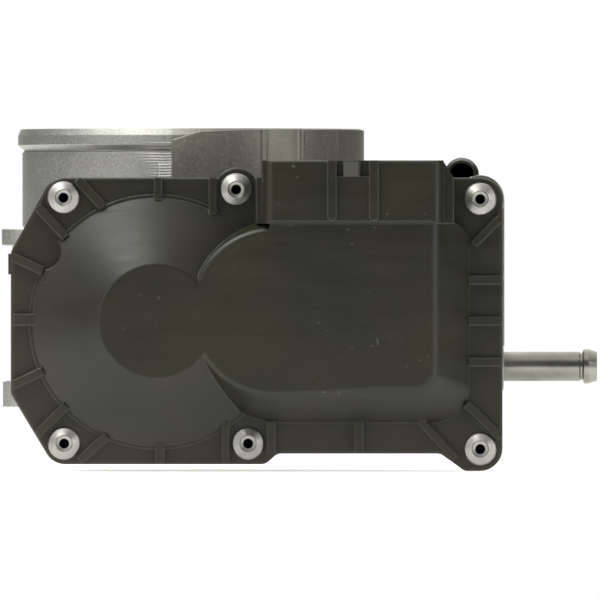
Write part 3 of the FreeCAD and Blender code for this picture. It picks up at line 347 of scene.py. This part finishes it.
def worked_metal(name, base, light, rough, direction):
    """Turned, drawn or ground metal with fine lines along one direction."""
    shade = Shade(name)
    lines = shade.noise(420.0, 4.0, 0.6, shade.stretch(direction))
    cloud = shade.spread(shade.noise(90.0, 4.0), 0.3, 0.7)
    spots = shade.spread(shade.noise(900.0, 3.0), 0.62, 0.72)
    colour = shade.blend(cloud, base, light)
    colour = shade.blend(shade.maths("MULTIPLY", spots, 0.3), colour, METAL_SPOT)
    if name == "rivet_metal":
        # Painted shade: the rivet's hole is darkened behind the head's front.
        hole_shade = shade.spread(shade.along("Y"), HOLE_SHADE_FRONT, HOLE_SHADE_FRONT + HOLE_SHADE_SOFT)
        colour = shade.blend(hole_shade, colour, HOLE_SHADE)
    shade.set(Base_Color=colour, Metallic=1.0,
              Roughness=shade.spread(lines, 0.3, 0.7, rough - 0.08, rough + 0.12))
    shade.bump([(lines, 0.02 * MM)], 0.4)
    return shade.material


def make_materials():
    finishes = {"cast_aluminium": cast_metal(), "pad_skin": pad_metal(), "cover_plastic": cover_plastic()}
    for name, values in PLASTICS.items():
        finishes[name] = plastic(name, *values)
    for name, values in METALS.items():
        finishes[name] = worked_metal(name, *values)
    return finishes


def dress_nodes(materials):
    """Give every CAD node the finish of its material slot, and the front pipe a duller one."""
    slots = {part["node"]: part["material_slot"] for part in frame["record"]["subparts"]}
    for name, node in NODES.items():
        node.data.materials.clear()
        node.data.materials.append(materials[slots[name]])
    NODES["front_coolant_pipe"].data.materials[0] = materials["dull_pipe"]


# ---------------------------------------------------------------- added pieces

def pad_height(turn):
    """Top of the as-cast skin, which climbs from the pad's edge to the lip in two slopes."""
    x = PAD_RADIUS * math.sin(turn)
    for (x_low, low), (x_high, high) in zip(PAD_CLIMB, PAD_CLIMB[1:]):
        if x <= x_high:
            return low + (high - low) * (x - x_low) / (x_high - x_low)
    return PAD_CLIMB[-1][1]


def pad_relief(turn):
    """How far the skin stands out at the draft lines left by the casting die."""
    x = PAD_RADIUS * math.sin(turn)
    relief = 0.0
    for centre, width, rise in PAD_LINES:
        relief = max(relief, rise * max(0.0, 1.0 - abs(x - centre) / width))
    return relief


def make_pad_skin(material):
    """As-cast skin over the raised pad and the bead, from the machined edge round to the side."""
    start = math.asin(PAD_EDGE / PAD_RADIUS)
    inner = PAD_RADIUS - PAD_THICK
    skin = bmesh.new()
    grid = []
    for column in range(PAD_COLUMNS + 1):
        turn = start + (PAD_END - start) * column / PAD_COLUMNS
        outer = PAD_RADIUS + pad_relief(turn)
        top = pad_height(turn)
        profile = [(outer, PAD_LOW + (top - PAD_LOW) * row / PAD_ROWS) for row in range(PAD_ROWS + 1)]
        profile += [(inner, top + LIP_RISE), (inner, PAD_LOW)]
        grid.append([skin.verts.new((reach * math.sin(turn), -reach * math.cos(turn), height))
                     for reach, height in profile])
    count = len(grid[0])
    for left, right in zip(grid, grid[1:]):
        for row in range(count):
            following = (row + 1) % count
            skin.faces.new((left[row], right[row], right[following], left[following]))
    skin.faces.new(grid[0])
    skin.faces.new(list(reversed(grid[-1])))
    bmesh.ops.recalc_face_normals(skin, faces=skin.faces)
    mesh = bpy.data.meshes.new("raised_pad_skin")
    skin.to_mesh(mesh)
    skin.free()
    mesh.materials.append(material)
    for face in mesh.polygons:
        face.use_smooth = True
    piece = bpy.data.objects.new("raised_pad_skin", mesh)
    bpy.context.scene.collection.objects.link(piece)
    piece.modifiers.new("edges", "EDGE_SPLIT").split_angle = PAD_CREASE
    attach(piece, "housing")


# ---------------------------------------------------------------- stage

VIEW_WIDTH = 162.2 * MM
VIEW_CENTRE = (29.7 * MM, 28.9 * MM)
CAMERA_DISTANCE = 7.5
CAMERA_REACH = 50.0
SCALE_DEPTH = 55.0 * MM
SENSOR = 36.0
FLOOR_RADIUS = 0.45
FLOOR_X = 0.03
FLOOR_GAP = 0.2 * MM
FLOOR_SIDES = 96
FLOOR_GLOW = 0.50
FLOOR_PALE = (rgb(0.86, 0.86, 0.85), rgb(0.88, 0.88, 0.87))
# World light: dim in front, bright behind and overhead, with a dark flag to each side of the back.
WORLD_TINT = rgb(1.0, 1.0, 0.96)
WHITE = rgb(1.0, 1.0, 1.0)
FRONT_GLOW = 0.13
BACK_GLOW = 1.5
BACK_REACH = (0.0, 0.85)
FLAG_SIDE = (0.80, 0.60)
FLAG_REACH = (0.68, 0.92)
FLAG_SHADE = 0.02
TOP_GLOW = 0.9
TOP_REACH = (0.55, 0.95)
# Soft boxes: name, place, aim, size and power.
LIGHTS = [
    ("key", (-0.68, -0.80, 0.30), (0.02, -0.05, 0.03), (0.30, 0.7), 1.7),
    ("fill", (0.92, -0.60, 0.25), (0.03, -0.05, 0.03), (0.35, 0.6), 2.3),
    ("over", (-0.30, -0.22, 0.62), (0.0, -0.08, 0.03), (0.60, 0.35), 4.8),
    ("low", (0.46, -0.24, -0.40), (0.06, -0.08, 0.0), (0.3, 0.3), 2.6),
]


def make_camera():
    """Square-on camera with a very long lens, so the view is almost flat."""
    data = bpy.data.cameras.new("camera")
    data.sensor_width = SENSOR
    data.lens = SENSOR * (CAMERA_DISTANCE - SCALE_DEPTH) / VIEW_WIDTH
    data.clip_end = CAMERA_REACH
    camera = bpy.data.objects.new("camera", data)
    camera.location = (VIEW_CENTRE[0], -CAMERA_DISTANCE, VIEW_CENTRE[1])
    camera.rotation_euler = (math.radians(90), 0, 0)
    bpy.context.scene.collection.objects.link(camera)
    bpy.context.scene.camera = camera


def make_floor():
    """Plain pale round floor just under the lowest point."""
    mesh = bpy.data.meshes.new("floor")
    disc = bmesh.new()
    bmesh.ops.create_circle(disc, cap_ends=True, radius=FLOOR_RADIUS, segments=FLOOR_SIDES)
    disc.to_mesh(mesh)
    disc.free()
    floor = bpy.data.objects.new("floor", mesh)
    floor.location = (FLOOR_X, 0.0, CAD_BOX[0].z - FLOOR_GAP)
    bpy.context.scene.collection.objects.link(floor)
    shade = Shade("floor_paint")
    tone = shade.spread(shade.noise(6.0, 3.0), 0.3, 0.7)
    shade.set(Base_Color=shade.blend(tone, *FLOOR_PALE), Roughness=0.9,
              Emission_Color=WHITE, Emission_Strength=FLOOR_GLOW)
    mesh.materials.append(shade.material)


def make_world():
    """Plain white where the camera sees it, and the studio's soft light for everything else."""
    world = bpy.data.worlds.new("studio")
    world.use_nodes = True
    tree = world.node_tree
    tree.nodes.clear()

    def ramp(source, low, high, out_low, out_high):
        node = tree.nodes.new("ShaderNodeMapRange")
        node.interpolation_type = "SMOOTHSTEP"
        tree.links.new(source, node.inputs["Value"])
        bounds = {"From Min": low, "From Max": high, "To Min": out_low, "To Max": out_high}
        for socket, bound in bounds.items():
            node.inputs[socket].default_value = bound
        return node.outputs["Result"]

    def maths(operation, first, second):
        node = tree.nodes.new("ShaderNodeMath")
        node.operation = operation
        for socket, source in zip(node.inputs, (first, second)):
            if isinstance(source, float):
                socket.default_value = source
            else:
                tree.links.new(source, socket)
        return node.outputs["Value"]

    split = tree.nodes.new("ShaderNodeSeparateXYZ")
    tree.links.new(tree.nodes.new("ShaderNodeTexCoord").outputs["Generated"], split.inputs["Vector"])
    sideways = maths("MULTIPLY", maths("ABSOLUTE", split.outputs["X"], 0.0), FLAG_SIDE[0])
    beside = maths("ADD", sideways, maths("MULTIPLY", split.outputs["Y"], FLAG_SIDE[1]))
    flag = ramp(beside, *FLAG_REACH, 1.0, FLAG_SHADE)
    behind = maths("MULTIPLY", ramp(split.outputs["Y"], *BACK_REACH, FRONT_GLOW, BACK_GLOW), flag)
    above = ramp(split.outputs["Z"], *TOP_REACH, 0.0, TOP_GLOW)
    light = tree.nodes.new("ShaderNodeBackground")
    light.inputs["Color"].default_value = WORLD_TINT
    tree.links.new(maths("ADD", behind, above), light.inputs["Strength"])
    seen = tree.nodes.new("ShaderNodeBackground")
    seen.inputs["Color"].default_value = WHITE
    path = tree.nodes.new("ShaderNodeLightPath")
    mix = tree.nodes.new("ShaderNodeMixShader")
    output = tree.nodes.new("ShaderNodeOutputWorld")
    tree.links.new(path.outputs["Is Camera Ray"], mix.inputs["Fac"])
    tree.links.new(light.outputs["Background"], mix.inputs[1])
    tree.links.new(seen.outputs["Background"], mix.inputs[2])
    tree.links.new(mix.outputs["Shader"], output.inputs["Surface"])
    bpy.context.scene.world = world


def make_light(name, spot, aim, size, power):
    """Rectangular soft box at the spot, turned towards the aim."""
    data = bpy.data.lights.new(name, "AREA")
    data.shape = "RECTANGLE"
    data.size, data.size_y = size
    data.energy = power
    lamp = bpy.data.objects.new(name, data)
    lamp.location = spot
    lamp.rotation_euler = (Vector(aim) - Vector(spot)).to_track_quat("-Z", "Y").to_euler()
    bpy.context.scene.collection.objects.link(lamp)


def make_stage():
    make_camera()
    make_floor()
    make_world()
    for light in LIGHTS:
        make_light(*light)
    bpy.context.scene.view_settings.view_transform = "Standard"


materials = make_materials()
dress_nodes(materials)
make_pad_skin(materials["pad_skin"])
make_stage()
